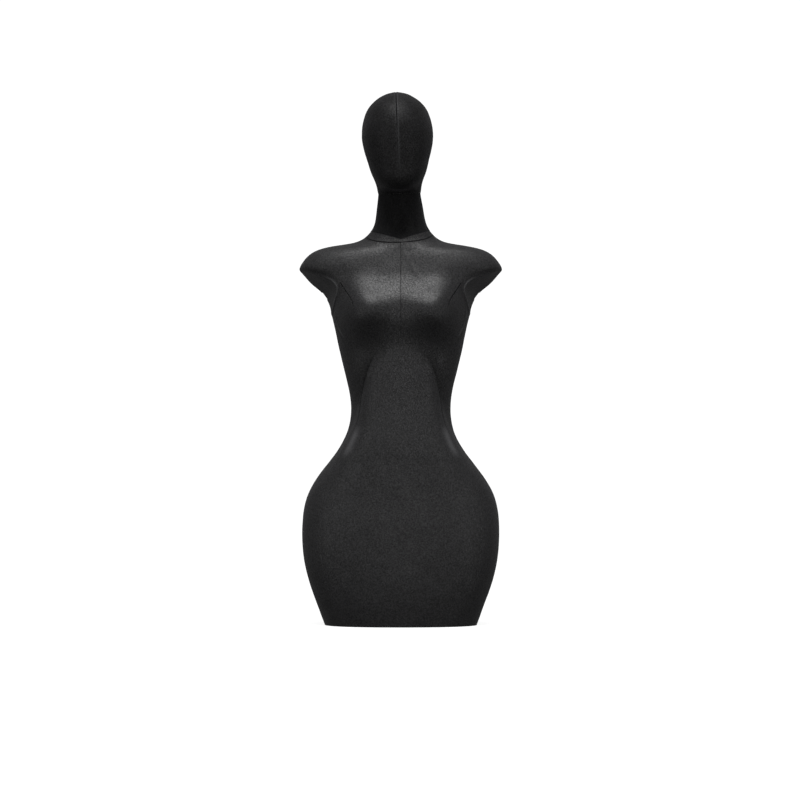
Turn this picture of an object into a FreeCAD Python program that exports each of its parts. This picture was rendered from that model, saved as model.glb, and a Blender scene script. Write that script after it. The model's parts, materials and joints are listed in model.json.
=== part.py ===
"""Dress form mannequin: a fabric-covered bust on a pole socket, with an egg head that turns on its neck.

Millimetres, +Z up, and the front faces -Y, so the figure's left is +X. The origin is on the resting
plane, on the axis of the pole socket. The outside is one skin, drawn as closed rings through three
guide lines: the side, the centre front and the centre back. Cover, padding and shell are layers at set
depths under that skin. The neck and the head lean a little to the figure's right.
"""
import FreeCAD, Part
import Sketcher
import math
import os

V = FreeCAD.Vector
doc = FreeCAD.newDocument("dress_form")
sheet = doc.addObject("Spreadsheet::Sheet", "sizes")
sheet_rows = iter(range(1, 10000))

# Rings of the skin, from the hem up: height and half width at the side, height and depth at centre
# front and at centre back, the depth of the side line, and the fullness (2 is an ellipse, more is squarer).
RING = ("side_height", "half_width", "front_height", "front_depth",
        "back_height", "back_depth", "side_depth", "fullness")
TORSO = {
    "tuck": (-20, 145, -20, -92, -20, 98, 4, 2.3),
    "hem": (0, 152.5, 0, -96, 0, 104, 5, 2.3),
    "thigh": (47, 170, 47, -106, 47, 118, 8, 2.25),
    "seat": (107, 189.5, 107, -112.5, 107, 134, 11, 2.2),
    "hip": (190, 198, 190, -115.5, 190, 143, 13, 2.15),
    "high_hip": (262, 186, 262, -112.5, 262, 130, 11, 2.1),
    "flank": (320, 149.5, 320, -109, 320, 103, 4, 2.1),
    "iliac": (365, 117, 365, -98, 365, 82, -2, 2.1),
    "waist": (437, 100, 437, -80, 437, 68, -5, 2.1),
    "rib": (500, 110.5, 500, -85, 500, 80, 0, 2.15),
    "under_bust": (560, 125, 560, -90, 560, 97, 10, 2.15),
    "bust": (615, 137, 615, -91, 615, 110, 24, 2.15),
    "armpit": (647, 149, 652, -86.5, 650, 114, 44, 2.15),
    "underarm": (671, 167, 676, -81, 678, 115, 55, 2.15),
    "scye": (691, 190, 694, -76, 700, 113, 52, 2.1),
    "tip_low": (704, 200, 706, -72.5, 716, 109, 40, 2.05),
    "tip": (716, 203.5, 718, -69, 729, 104, 27, 2),
    "cap": (730, 195.5, 729, -65.5, 741, 99, 22, 2),
    "deltoid": (743, 183.5, 739, -62.5, 752, 94, 20, 1.95),
    "slope": (755, 158.5, 748, -59.5, 763, 88, 18, 1.9),
    "trapezius": (763.5, 112, 756, -57, 775, 82, 16, 1.9),
    "collar": (773, 78, 763.5, -54, 786, 76, 13, 1.95),
    "neckline": (787, 61.5, 771, -51, 802, 68, 9, 2),
    "neck_root": (803, 52, 787, -47, 822, 58, 5, 2),
    "neck_middle": (833, 46.3, 826, -45, 843, 49, 1, 2),
    "neck_top": (863, 42, 863, -44.5, 863, 43, -1, 2),
    "neck_over": (885, 41, 885, -44.5, 885, 41, -2, 2),
}
HEAD = {
    "stub_under": (848, 40.5, 848, -43, 848, 42, -1, 2),
    "stub": (863, 42, 863, -45, 863, 43, -1, 2),
    "under_jaw": (875, 44.3, 868, -60, 881, 45, -5, 2),
    "jaw": (889, 48, 871, -82, 901, 53, -11, 2.1),
    "chin": (905, 54.5, 883, -95, 919, 63, -13, 2.15),
    "mouth": (929, 61.5, 911, -100, 943, 75, -12, 2.15),
    "cheek": (956, 68.5, 947, -103, 967, 84, -10, 2.1),
    "brow": (984, 71.3, 984, -104, 990, 87, -9, 2.05),
    "forehead": (1010, 68, 1016, -97, 1015, 82, -8, 2),
    "crown_low": (1034, 58.5, 1040, -82, 1038, 68, -8, 2),
    "crown_middle": (1052, 42, 1056, -60, 1055, 45, -8, 2),
    "crown_high": (1063, 23, 1064.5, -34, 1064, 18, -8, 2),
    "crown": (1067.5, 5, 1067.5, -14, 1067.5, -2, -8, 2),
}
# The belly is a second set of rings standing in front of the rib cage: it ends above in the rib arch.
BELLY_RING = ("height", "half_width", "depth")
BELLY = {
    "belly_low": (262, 183, -111),
    "belly_hip": (325, 140, -110.5),
    "belly_flank": (370, 113, -108.5),
    "belly_waist": (410, 95, -103.5),
    "belly_navel": (450, 88, -99),
    "belly_high": (500, 81, -96),
    "belly_arch": (535, 71, -92.8),
    "belly_peak": (565, 54, -89.6),
    "belly_end": (592, 38, -87.5),
}
# Rounded forms raised on the skin: their middle, how far they reach, and how high they stand.
FORM = ("across", "height", "reach_across", "reach_up", "reach_down", "rise")
FRONT_FORMS = {
    "breast": (85, 634, 51, 46, 56, 44),
    "between_breasts": (0, 641, 44, 42, 66, 15),
}
BACK_FORMS = {
    "buttock": (80, 176, 74, 92, 84, 15),
    "shoulder_blade": (76, 664, 50, 52, 60, 6),
    "spine_hollow": (0, 480, 24, 130, 120, -6),
}
# The armhole is cut by a curved blade: one profile across the front of the arm, one across the back.
SCYE = ("front_across", "front_height", "back_across", "back_height")
SCYE_BLADE = {
    "scye_over": (216, 725, 218, 714),
    "scye_tip": (183, 716, 200, 702.5),
    "scye_cap": (165, 710, 188, 690.5),
    "scye_crest": (145, 700, 174.5, 678.5),
    "scye_shoulder": (130, 689, 164, 670),
    "scye_deepest": (123.5, 675, 154, 658),
    "scye_side": (128, 652, 148, 645),
    "scye_low": (133, 630, 143.5, 630),
    "scye_floor": (142, 612, 145.5, 610),
    "scye_under": (158, 598, 158, 596),
}
# The side panel's seams, seen from the front: its front seam runs round the breast, its back one down the back.
SEAM = ("front_across", "front_height", "back_across", "back_height")
SIDE_SEAMS = {
    "seam_armhole": (142, 686, 150, 668),
    "seam_upper": (139, 655, 147, 640),
    "seam_breast": (133, 625, 138, 600),
    "seam_outer": (126, 592, 127, 560),
    "seam_fold": (113, 565, 112, 500),
    "seam_rib": (98, 520, 98, 440),
    "seam_waist": (84, 440, 112, 370),
    "seam_flank": (101, 378, 140, 320),
    "seam_high_hip": (142, 300, 160, 262),
    "seam_hip": (160, 190, 166, 190),
    "seam_seat": (152, 107, 158, 107),
    "seam_thigh": (136, 47, 141, 47),
    "seam_hem": (120, -10, 124, -10),
}
SIZES = {
    # layers, as depths under the skin
    "cover_thickness": 1.2, "padding_outside": 1.5, "padding_inside": 4,
    "shell_outside": 4.5, "shell_inside": 7.5, "board_edge": 7.9,
    "neck_shell_outside": 1.6, "neck_shell_inside": 5.6, "neck_board_edge": 6,
    # seams between pieces
    "seam_gap": 0.2, "glue_gap": 0.1, "shoulder_seam_depth": 18, "head_seam_depth": -9,
    # neckline and lean
    "neckline_depth": 8, "neckline_height": 788.5, "neckline_tilt": 16.8, "lean": 2,
    "lean_softness": 9, "neckband_width": 4.6, "neck_joint_gap": 0.5,
    # hem
    "hem_facing_outside": 1.4, "hem_facing_inside": 9.3, "hem_facing_rise": 28, "hem_clear": 1.6,
    # armhole
    "blade_front_depth": -60, "blade_back_depth": 75, "blade_reach": 80, "armhole_cover_edge": 1.4,
    "armhole_board_outside": 1.6, "armhole_board_inside": 6.6,
    # base board and pole socket
    "axis": 0, "base_bottom": 42, "base_thickness": 12, "base_hole_radius": 16.5,
    "bore_radius": 12.9, "tube_radius": 16, "socket_mouth": 0, "flange_thickness": 4,
    "flange_radius": 52, "bore_top": 92, "socket_top": 95,
    "flange_screw_circle": 38, "flange_hole_radius": 2.6, "flange_screw_count": 4,
    "screw_radius": 2.2, "screw_head_radius": 4.6, "screw_head_height": 2.6, "screw_length": 13,
    "pilot_radius": 2.3, "pilot_depth": 10,
    # clamp: the thumbscrew works along +Y at this height
    "clamp_height": 20, "clamp_hole_radius": 4.3, "clamp_nut_start": 16.1, "clamp_nut_height": 8,
    "clamp_nut_circumradius": 7.5, "thread_radius": 4, "thread_bore_radius": 4.05,
    "pad_face": 13.05, "pad_radius": 3.9, "pad_length": 3.8, "nose_radius": 1.5,
    "nose_hole_radius": 1.56, "nose_hole_depth": 2, "nose_length": 1.8, "shank_start": 16.95,
    "shank_length": 39, "knob_bore_depth": 11.1,
    "knob_start": 45, "knob_length": 12, "knob_radius": 13.5, "knob_flute_radius": 4,
    "knob_flute_circle": 16, "knob_flute_count": 6, "knob_edge": 1.2,
    # neck board, socket and peg, as heights along the neckline's normal
    "neck_board_bottom": -16, "neck_board_thickness": 10, "neck_socket_radius": 21,
    "neck_socket_hole_radius": 21.1, "socket_flange_radius": 35, "socket_flange_thickness": 3,
    "socket_tube_length": 72, "socket_floor": 4,
    "peg_radius": 16, "peg_bore_radius": 16.06, "peg_length": 76, "peg_edge": 3,
    "socket_screw_circle": 28, "socket_screw_count": 3, "socket_screw_length": 8,
    "neck_base_bottom": 1.2, "neck_base_thickness": 10,
    # head pivot, as heights up the leaning neck
    "neck_joint": 862.6, "neck_plate_bottom": 851, "neck_plate_thickness": 10, "pivot_depth": -1,
    "bolt_radius": 5, "bolt_bore_radius": 5.05, "bolt_head_circumradius": 9.2, "bolt_head_height": 6.5,
    "bolt_length": 46, "friction_washer_radius": 22, "friction_washer_bottom": 861.2,
    "friction_washer_thickness": 2.7, "head_bottom": 863.2, "head_board_bottom": 864.1,
    "head_board_thickness": 10, "bush_radius": 9, "bush_hole_radius": 9.1, "bush_flange_radius": 13,
    "bush_flange_thickness": 1.5, "spring_washer_bottom": 876.2, "spring_washer_thickness": 1.6,
    "spring_washer_radius": 10, "lock_nut_bottom": 878, "lock_nut_height": 9,
    "lock_nut_circumradius": 9.2,
}


def put(alias, value):
    """Writes one driving dimension to the sheet."""
    cell = "A%d" % next(sheet_rows)
    sheet.set(cell, str(value))
    sheet.setAlias(cell, alias)


def put_table(columns, table):
    for name, row in table.items():
        for column, value in zip(columns, row):
            put("%s_%s" % (name, column), value)


def size(alias):
    return float(sheet.get(alias))


def table_rows(columns, table):
    """A table's rows as the sheet holds them."""
    return [[size("%s_%s" % (name, column)) for column in columns] for name in table]


put_table(RING, TORSO)
put_table(RING, HEAD)
put_table(BELLY_RING, BELLY)
put_table(FORM, FRONT_FORMS)
put_table(FORM, BACK_FORMS)
put_table(SCYE, SCYE_BLADE)
put_table(SEAM, SIDE_SEAMS)
for alias, value in SIZES.items():
    put(alias, value)
doc.recompute()

# ---------------------------------------------------------------------------------------------------
# The skin
# ---------------------------------------------------------------------------------------------------
BELLY_ROWS = table_rows(BELLY_RING, BELLY)
FRONT_FORM_ROWS = table_rows(FORM, FRONT_FORMS)
BACK_FORM_ROWS = table_rows(FORM, BACK_FORMS)
BELLY_BLEND = 1.6
BELLY_FADE_BELOW = 80.0
BELLY_FADE_ABOVE = 34.0
BELLY_FULLNESS = 2.6
FORM_FULLNESS = 1.25
RING_SPACING = 13.0
TORSO_COLUMNS = 64
HEAD_COLUMNS = 40


def interpolate_columns(rows, knots):
    """One curve per column of a table, over shared knots. A curve's X at a knot is the value there."""
    curves = []
    for column in range(len(rows[0])):
        curve = Part.BSplineCurve()
        curve.interpolate(Points=[V(row[column], knot, 0) for row, knot in zip(rows, knots)],
                          Parameters=knots)
        curves.append(curve)
    return curves


BELLY_CURVES = interpolate_columns(BELLY_ROWS, [row[0] for row in BELLY_ROWS])


def ring_length(low, high):
    """Mean distance between two rings, measured along the side, front and back guide lines."""
    return sum(math.hypot(high[k] - low[k], high[k + 1] - low[k + 1]) for k in (0, 2, 4)) / 3


def polar_radius(angle, half_width, depth, fullness):
    """Distance from the middle of a superellipse to its outline, at an angle from the side."""
    across = abs(math.cos(angle) / half_width) ** fullness
    along = abs(math.sin(angle) / depth) ** fullness
    return (across + along) ** (-1 / fullness)


def smooth_max(a, b, blend):
    """The larger of two lengths, rounded where they cross."""
    return b + blend * math.log1p(math.exp((a - b) / blend))


def swell(form_rows, across, height):
    """How far the rounded forms raise the skin at one place, counting each form and its mirror."""
    total = 0.0
    for middle, level, reach, up, down, rise in form_rows:
        drop = (height - level) / (up if height > level else down)
        for side in ((1, -1) if middle else (1,)):
            distance = ((across - side * middle) / reach) ** 2 + drop ** 2
            total += rise * math.exp(-distance ** FORM_FULLNESS)
    return total


def belly_radius(angle, side_depth, height, radius):
    """The ring's radius where the belly stands in front of it."""
    lowest, highest = BELLY_ROWS[0][0], BELLY_ROWS[-1][0]
    if not lowest < height < highest:
        return radius
    _, half_width, depth = [curve.value(height).x for curve in BELLY_CURVES]
    fade = min(1, (height - lowest) / BELLY_FADE_BELOW, (highest - height) / BELLY_FADE_ABOVE)
    belly = polar_radius(angle, half_width, side_depth - depth, BELLY_FULLNESS)
    return radius + fade * (smooth_max(radius, belly, BELLY_BLEND) - radius)


def lean_shift(height):
    """How far the neck has leaned to the figure's right at a height."""
    softness = size("lean_softness")
    rise = softness * math.log1p(math.exp((height - size("neckline_height")) / softness))
    return -math.tan(math.radians(size("lean"))) * rise


def ring_point(values, turn, is_torso):
    """One point of a ring. turn runs from centre back round by the left side to centre front at half a turn."""
    side_height, half_width, front_height, front, back_height, back, side_depth, fullness = values
    eccentric = math.pi / 2 - turn
    is_front = math.sin(eccentric) < 0
    depth = side_depth - front if is_front else back - side_depth
    angle = math.atan2(depth * math.sin(eccentric), half_width * math.cos(eccentric))
    radius = polar_radius(angle, half_width, depth, fullness)
    facing = abs(math.sin(eccentric))
    end_height = front_height if is_front else back_height
    height = side_height + (end_height - side_height) * facing ** 2
    if is_torso and is_front:
        radius = belly_radius(angle, side_depth, height, radius)
    x = radius * math.cos(angle)
    y = side_depth + radius * math.sin(angle)
    if is_torso:
        rise = -swell(FRONT_FORM_ROWS, x, height) if is_front else swell(BACK_FORM_ROWS, x, height)
        y += rise * facing
        x += lean_shift(height)
    return V(x, y, height)


def ring_grid(stations, is_torso, columns):
    """A grid of points on the skin: rows go up, columns go round from centre back."""
    rows = table_rows(RING, stations)
    knots = [0.0]
    for low, high in zip(rows, rows[1:]):
        knots.append(knots[-1] + ring_length(low, high))
    guides = interpolate_columns(rows, knots)
    levels = []
    for low, high in zip(knots, knots[1:]):
        steps = max(1, round((high - low) / RING_SPACING))
        levels += [low + (high - low) * k / steps for k in range(steps)]
    levels.append(knots[-1])
    grid = []
    for level in levels:
        values = [guide.value(level).x for guide in guides]
        grid.append([ring_point(values, 2 * math.pi * k / columns, is_torso) for k in range(columns)])
    return grid


def sink(grid, depth):
    """The grid moved inwards along its normals."""
    last = len(grid) - 1
    columns = len(grid[0])
    moved = []
    for i, row in enumerate(grid):
        above, below = grid[min(i + 1, last)], grid[max(i - 1, 0)]
        new = []
        for k in range(columns):
            round_way = row[(k + 1) % columns] - row[k - 1]
            normal = round_way.cross(above[k] - below[k]).normalize()
            new.append(row[k] + normal * depth)
        moved.append(new)
    return moved


def shell_of_grid(grid):
    """A closed shell: one smooth surface through the grid, and a flat face at each end."""
    for row in (grid[0], grid[-1]):
        level = sum(point.z for point in row) / len(row)
        for point in row:
            point.z = level
    surface = Part.BSplineSurface()
    surface.interpolate([row + [row[0]] for row in grid])
    side = surface.toShape()
    faces = [side]
    for row in (grid[0], grid[-1]):
        ring = [edge for edge in side.Edges if abs(edge.BoundBox.ZMax - row[0].z) < 1e-3
                and abs(edge.BoundBox.ZMin - row[0].z) < 1e-3]
        faces.append(Part.Face(Part.Wire(Part.__sortEdges__(ring))))
    shell = Part.makeShell(faces)
    shell.sewShape()
    solid = Part.Solid(Part.Shell(shell.Faces))
    if solid.Volume < 0:
        solid.reverse()
    return solid.Shells[0]


GRIDS = {"torso": ring_grid(TORSO, True, TORSO_COLUMNS), "head": ring_grid(HEAD, False, HEAD_COLUMNS)}
GRIDS["neck"] = [row for row in GRIDS["torso"] if row[0].z > size("slope_back_height")]


def skin(form, depth):
    """Everything inside the skin of a form, from a depth inwards."""
    return Part.Solid(shell_of_grid(sink(GRIDS[form], depth)))


def layer(form, outside, inside):
    """The part of a form between two depths."""
    outer = shell_of_grid(sink(GRIDS[form], outside))
    inner = shell_of_grid(sink(GRIDS[form], inside)).reversed()
    return Part.makeSolid(Part.Compound([outer, inner]))


# ---------------------------------------------------------------------------------------------------
# Cutting tools
# ---------------------------------------------------------------------------------------------------
REACH = 1200.0
SEAM_OVERLAP = 5.0
UP = V(0, 0, 1)


def half_space(point, normal):
    """A block filling the side of a plane that its normal points to."""
    block = Part.makeBox(2 * REACH, 2 * REACH, REACH, V(-REACH, -REACH, 0))
    block.Placement = FreeCAD.Placement(point, FreeCAD.Rotation(UP, normal))
    return block


def slab(point, normal, low, high):
    """A block between two planes along a normal."""
    block = Part.makeBox(2 * REACH, 2 * REACH, high - low, V(-REACH, -REACH, low))
    block.Placement = FreeCAD.Placement(point, FreeCAD.Rotation(UP, normal))
    return block


ORIGIN = V(0, 0, 0)
LEAN = FreeCAD.Rotation(V(0, 1, 0), -size("lean"))
TILT = math.radians(size("neckline_tilt"))
NECKLINE = V(0, size("neckline_depth"), size("neckline_height"))
NECK_NORMAL = LEAN.multVec(V(0, -math.sin(TILT), math.cos(TILT)))
LEAN_AXIS = LEAN.multVec(UP)
LEAN_PLACE = FreeCAD.Placement(NECKLINE - LEAN.multVec(NECKLINE), LEAN)


def leaned(height):
    """The point of the head's pivot line at a height up the leaning neck."""
    return LEAN_PLACE.multVec(V(0, size("pivot_depth"), height))


def blade_wire(rows, across, height, y, out):
    """One outline of the armhole blade at a depth y: the profile moved by out, closed beyond the arm."""
    points = [V(row[across], 0, row[height]) for row in rows]
    moved = []
    for k, point in enumerate(points):
        along = points[min(k + 1, len(points) - 1)] - points[max(k - 1, 0)]
        outward = V(along.z, 0, -along.x).normalize()
        moved.append(V(point.x + outward.x * out, y, point.z + outward.z * out))
    curve = Part.BSplineCurve()
    curve.interpolate(moved)
    top, bottom = V(2 * REACH, y, moved[0].z), V(2 * REACH, y, moved[-1].z)
    lines = [Part.makeLine(moved[-1], bottom), Part.makeLine(bottom, top), Part.makeLine(top, moved[0])]
    return Part.Wire([curve.toShape()] + lines)


def blade(side, out):
    """The armhole blade of one side, grown into the arm by out."""
    rows = table_rows(SCYE, SCYE_BLADE)
    front, back, reach = size("blade_front_depth"), size("blade_back_depth"), size("blade_reach")
    outlines = [blade_wire(rows, 0, 1, front - reach, out), blade_wire(rows, 0, 1, front, out),
                blade_wire(rows, 2, 3, back, out), blade_wire(rows, 2, 3, back + reach, out)]
    solid = Part.makeLoft(outlines, True, True)
    return solid if side > 0 else solid.mirror(ORIGIN, V(1, 0, 0))


def seam_block(rows, across, height, y_start, y_length, out):
    """Everything beyond a side seam, on one side of the shoulder seam."""
    points = [V(row[across] - out, y_start, row[height]) for row in rows]
    curve = Part.BSplineCurve()
    curve.interpolate(points)
    top, bottom = V(REACH, y_start, points[0].z + out), V(REACH, y_start, points[-1].z)
    corner = V(points[0].x, y_start, top.z)
    corners = [points[-1], bottom, top, corner]
    if out:
        corners.append(points[0])
    lines = [Part.makeLine(a, b) for a, b in zip(corners, corners[1:])]
    wire = Part.Wire([curve.toShape()] + lines)
    return Part.Face(wire).extrude(V(0, y_length, 0))


def side_blocks(side, out, overlap):
    """The space of one side panel, grown by out: its front and back halves, overlapping at the middle."""
    rows = table_rows(SEAM, SIDE_SEAMS)
    middle = size("shoulder_seam_depth")
    front = seam_block(rows, 0, 1, middle - REACH, REACH + overlap, out)
    back = seam_block(rows, 2, 3, middle - overlap, REACH, out)
    if side > 0:
        return front, back
    return front.mirror(ORIGIN, V(1, 0, 0)), back.mirror(ORIGIN, V(1, 0, 0))



# ---------------------------------------------------------------------------------------------------
# Sub-parts
# ---------------------------------------------------------------------------------------------------
sub_parts = []
SIDES = {"left": 1, "right": -1}


def keep(label, document_object):
    """Names a document object as a sub-part of its own."""
    document_object.Label = label
    sub_parts.append(document_object)
    return document_object


def solid_part(label, shape, placement=None):
    """A sub-part whose free form is worked out from the skin."""
    feature = doc.addObject("Part::Feature", "form_" + label)
    feature.Shape = shape
    if placement:
        feature.Placement = placement
    return keep(label, feature)


def amount(formula):
    """The value of a sum of sheet names, such as 'socket_mouth + flange_thickness'."""
    total, sign = 0.0, 1
    for word in formula.split():
        if word in "+-":
            sign = 1 if word == "+" else -1
        else:
            total += sign * size(word)
    return total


def bound(formula):
    """The same sum as an expression on the sheet."""
    return " ".join(word if word in "+-" else "sizes." + word for word in formula.split())


def origin_plane(body, role):
    return next(feature for feature in body.Origin.OriginFeatures if feature.Role == role)


def new_sketch(body, role, offset=None):
    """A sketch on one of the body's own origin planes, raised along that plane's normal."""
    sketch = body.newObject("Sketcher::SketchObject", body.Name + "_sketch")
    sketch.AttachmentSupport = [(origin_plane(body, role), "")]
    sketch.MapMode = "FlatFace"
    if offset:
        sketch.setExpression("AttachmentOffset.Base.z", bound(offset))
    return sketch


def tie(sketch, index, point, kind, formula, axis):
    """Holds one coordinate of a point at a formula's value, or on the axis itself."""
    if formula == "axis":
        sketch.addConstraint(Sketcher.Constraint("PointOnObject", index, point, axis))
        return
    constraint = Sketcher.Constraint(kind, -1, 1, index, point, amount(formula))
    number = sketch.addConstraint(constraint)
    sketch.setExpression("Constraints[%d]" % number, bound(formula))


def draw_circle(sketch, radius, across, up):
    """A circle bound to the sheet."""
    index = sketch.addGeometry(Part.Circle(V(amount(across), amount(up), 0), UP, amount(radius)))
    number = sketch.addConstraint(Sketcher.Constraint("Radius", index, amount(radius)))
    sketch.setExpression("Constraints[%d]" % number, bound(radius))
    tie(sketch, index, 3, "DistanceX", across, -2)
    tie(sketch, index, 3, "DistanceY", up, -1)


def draw_outline(sketch, points):
    """A closed outline of straight lines. Each point is a pair of formulas; 'axis' puts it on that axis."""
    places = [V(amount(x), amount(y), 0) for x, y in points]
    lines = [sketch.addGeometry(Part.LineSegment(a, b)) for a, b in zip(places, places[1:] + places[:1])]
    for line, following in zip(lines, lines[1:] + lines[:1]):
        sketch.addConstraint(Sketcher.Constraint("Coincident", line, 2, following, 1))
    for line, (across, up) in zip(lines, points):
        tie(sketch, line, 1, "DistanceX", across, -2)
        tie(sketch, line, 1, "DistanceY", up, -1)


def turned_body(name, points, placement=None):
    """A turned body: an outline of (radius, height) pairs, revolved about the body's Z axis."""
    body = doc.addObject("PartDesign::Body", "body_" + name)
    sketch = new_sketch(body, "XZ_Plane")
    draw_outline(sketch, points)
    revolution = body.newObject("PartDesign::Revolution", body.Name + "_turn")
    revolution.Profile = sketch
    revolution.ReferenceAxis = (sketch, ["V_Axis"])
    revolution.Angle = 360
    if placement:
        body.Placement = placement
    doc.recompute()
    return body


def turned(label, points, placement=None):
    return keep(label, turned_body(label, points, placement))


def pocket(body, sketch, length, probe):
    """Cuts a sketch out of a body. The probe is a point, in the body's own frame, that the cut must empty."""
    cut = body.newObject("PartDesign::Pocket", body.Name + "_cut")
    cut.Profile = sketch
    cut.setExpression("Length", bound(length))
    doc.recompute()
    place = body.Placement.multVec(probe)
    if body.Shape.isInside(place, 1e-6, True):
        cut.Reversed = True
        doc.recompute()
    if body.Shape.isInside(place, 1e-6, True):
        raise RuntimeError(cut.Name + " cuts nothing")
    return cut


def repeat_round(body, feature, count):
    """Repeats a feature round the body's Z axis."""
    pattern = body.newObject("PartDesign::PolarPattern", body.Name + "_ring")
    pattern.Originals = [feature]
    pattern.Axis = (origin_plane(body, "Z_Axis"), [""])
    pattern.Angle = 360
    pattern.setExpression("Occurrences", bound(count))
    body.Tip = pattern
    doc.recompute()


def primitive(kind, name, **formulas):
    """A Part primitive whose sizes are bound to the sheet."""
    solid = doc.addObject(kind, name)
    for property_name, formula in formulas.items():
        solid.setExpression(property_name, bound(formula))
    return solid


def hexagon_nut(label, circumradius, height, bore, placement):
    blank = primitive("Part::Prism", "blank_" + label, Circumradius=circumradius, Height=height)
    hole = primitive("Part::Cylinder", "hole_" + label, Radius=bore, Height=height)
    nut = doc.addObject("Part::Cut", "cut_" + label)
    nut.Base = blank
    nut.Tool = hole
    nut.Placement = placement
    return keep(label, nut)


def ring_angles(count):
    number = int(size(count))
    return [2 * math.pi * k / number for k in range(number)]


def ring_of_copies(label, master, circle, count):
    """Identical fasteners in a ring round the master's Z axis, kept as one sub-part of separate solids."""
    copies = []
    for angle in ring_angles(count):
        copy = master.Shape.copy()
        step = V(size(circle) * math.cos(angle), size(circle) * math.sin(angle), 0)
        copy.translate(master.Placement.Rotation.multVec(step))
        copies.append(copy)
    return solid_part(label, Part.Compound(copies))


def rod(radius, placement, low, high, across=0.0, along=0.0):
    """A cylinder along the Z axis of a placement, as a drill."""
    shape = Part.makeCylinder(radius, high - low, V(across, along, low))
    shape.Placement = placement.multiply(shape.Placement)
    return shape


def drill_ring(shape, placement, radius, low, high, circle, count):
    for angle in ring_angles(count):
        x, y = size(circle) * math.cos(angle), size(circle) * math.sin(angle)
        shape = shape.cut(rod(radius, placement, low, high, x, y))
    return shape


def biggest(shape):
    """The largest solid of a cut, without its crumbs."""
    return max(shape.Solids, key=lambda solid: solid.BoundBox.DiagonalLength)


def on_neckline(height):
    """A place on the peg's axis, at a height along the neckline's normal."""
    return FreeCAD.Placement(NECKLINE + NECK_NORMAL * height, FreeCAD.Rotation(UP, NECK_NORMAL))


def on_pivot(height):
    """A place on the head's pivot line, at a height up the leaning neck."""
    return FreeCAD.Placement(leaned(height), LEAN)


def in_clamp(depth):
    """A place on the thumbscrew's axis, which runs along +Y."""
    return FreeCAD.Placement(V(0, depth, size("clamp_height")), FreeCAD.Rotation(UP, V(0, 1, 0)))


def front_and_back(shape, y):
    """The two halves of a layer, in front of and behind a plane across the figure."""
    front = shape.common(half_space(V(0, y, 0), V(0, -1, 0)))
    back = shape.common(half_space(V(0, y + size("seam_gap"), 0), V(0, 1, 0)))
    return biggest(front), biggest(back)


def build_cover():
    """The fabric cover: six panels and the band round the neckline."""
    cover = layer("torso", 0, size("cover_thickness"))
    gap = size("seam_gap")
    band_low = NECKLINE - NECK_NORMAL * size("neckband_width")
    band = cover.common(half_space(band_low, NECK_NORMAL)).cut(half_space(NECKLINE, NECK_NORMAL))
    solid_part("neckband", biggest(band))
    body = cover.cut(half_space(band_low - NECK_NORMAL * gap, NECK_NORMAL)).cut(half_space(ORIGIN, -UP))
    for word, side in SIDES.items():
        half = body.common(half_space(V(side * gap / 2, 0, 0), V(side, 0, 0))).cut(blade(side, 0))
        side_front, side_back = side_blocks(side, 0, 0)
        solid_part("cover_side_" + word, biggest(half.common(side_front.fuse(side_back))))
        front, back = front_and_back(half, size("shoulder_seam_depth"))
        beyond_front, beyond_back = side_blocks(side, gap, SEAM_OVERLAP)
        solid_part("cover_front_" + word, biggest(front.cut(beyond_front)))
        solid_part("cover_back_" + word, biggest(back.cut(beyond_back)))


def build_armholes():
    """A dished board in each armhole, with a fabric cover over it."""
    under_cover = skin("torso", size("armhole_cover_edge"))
    under_shell = skin("torso", size("board_edge"))
    outside, inside = size("armhole_board_outside"), size("armhole_board_inside")
    for word, side in SIDES.items():
        fabric = blade(side, size("cover_thickness")).cut(blade(side, 0))
        solid_part("armhole_cover_" + word, biggest(fabric.common(under_cover)))
        board = blade(side, inside).cut(blade(side, outside))
        solid_part("armhole_board_" + word, biggest(board.common(under_shell)))


def build_hem_facing():
    """The cover's hem allowance, turned under the shell's edge and up its inside."""
    outside, inside = size("hem_facing_outside"), size("hem_facing_inside")
    thickness, rise = size("cover_thickness"), size("hem_facing_rise")
    turned_under = layer("torso", outside, inside).common(slab(ORIGIN, UP, 0, thickness))
    riser = layer("torso", inside - thickness, inside).common(slab(ORIGIN, UP, thickness, rise))
    solid_part("hem_facing", turned_under.fuse(riser).removeSplitter())


def build_torso_layers():
    """The foam padding and the moulded shell, each in a front and a back half."""
    clear = size("padding_outside")
    for name, outside, inside in (("padding", clear, size("padding_inside")),
                                  ("torso_shell", size("shell_outside"), size("shell_inside"))):
        shape = layer("torso", outside, inside).cut(half_space(NECKLINE, NECK_NORMAL))
        shape = shape.cut(half_space(V(0, 0, size("hem_clear")), -UP))
        for side in SIDES.values():
            shape = shape.cut(blade(side, clear))
        front, back = front_and_back(shape, size("shoulder_seam_depth"))
        solid_part(name + "_front", front)
        solid_part(name + "_back", back)


def screw_outline(head_low, head_height, length):
    """A round-headed screw with its head below and its point up, or the other way round when turned over."""
    head_top = head_low + " + " + head_height
    point = head_top + " + " + length
    return [("axis", head_low), ("screw_head_radius", head_low), ("screw_head_radius", head_top),
            ("screw_radius", head_top), ("screw_radius", point), ("axis", point)]


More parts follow.
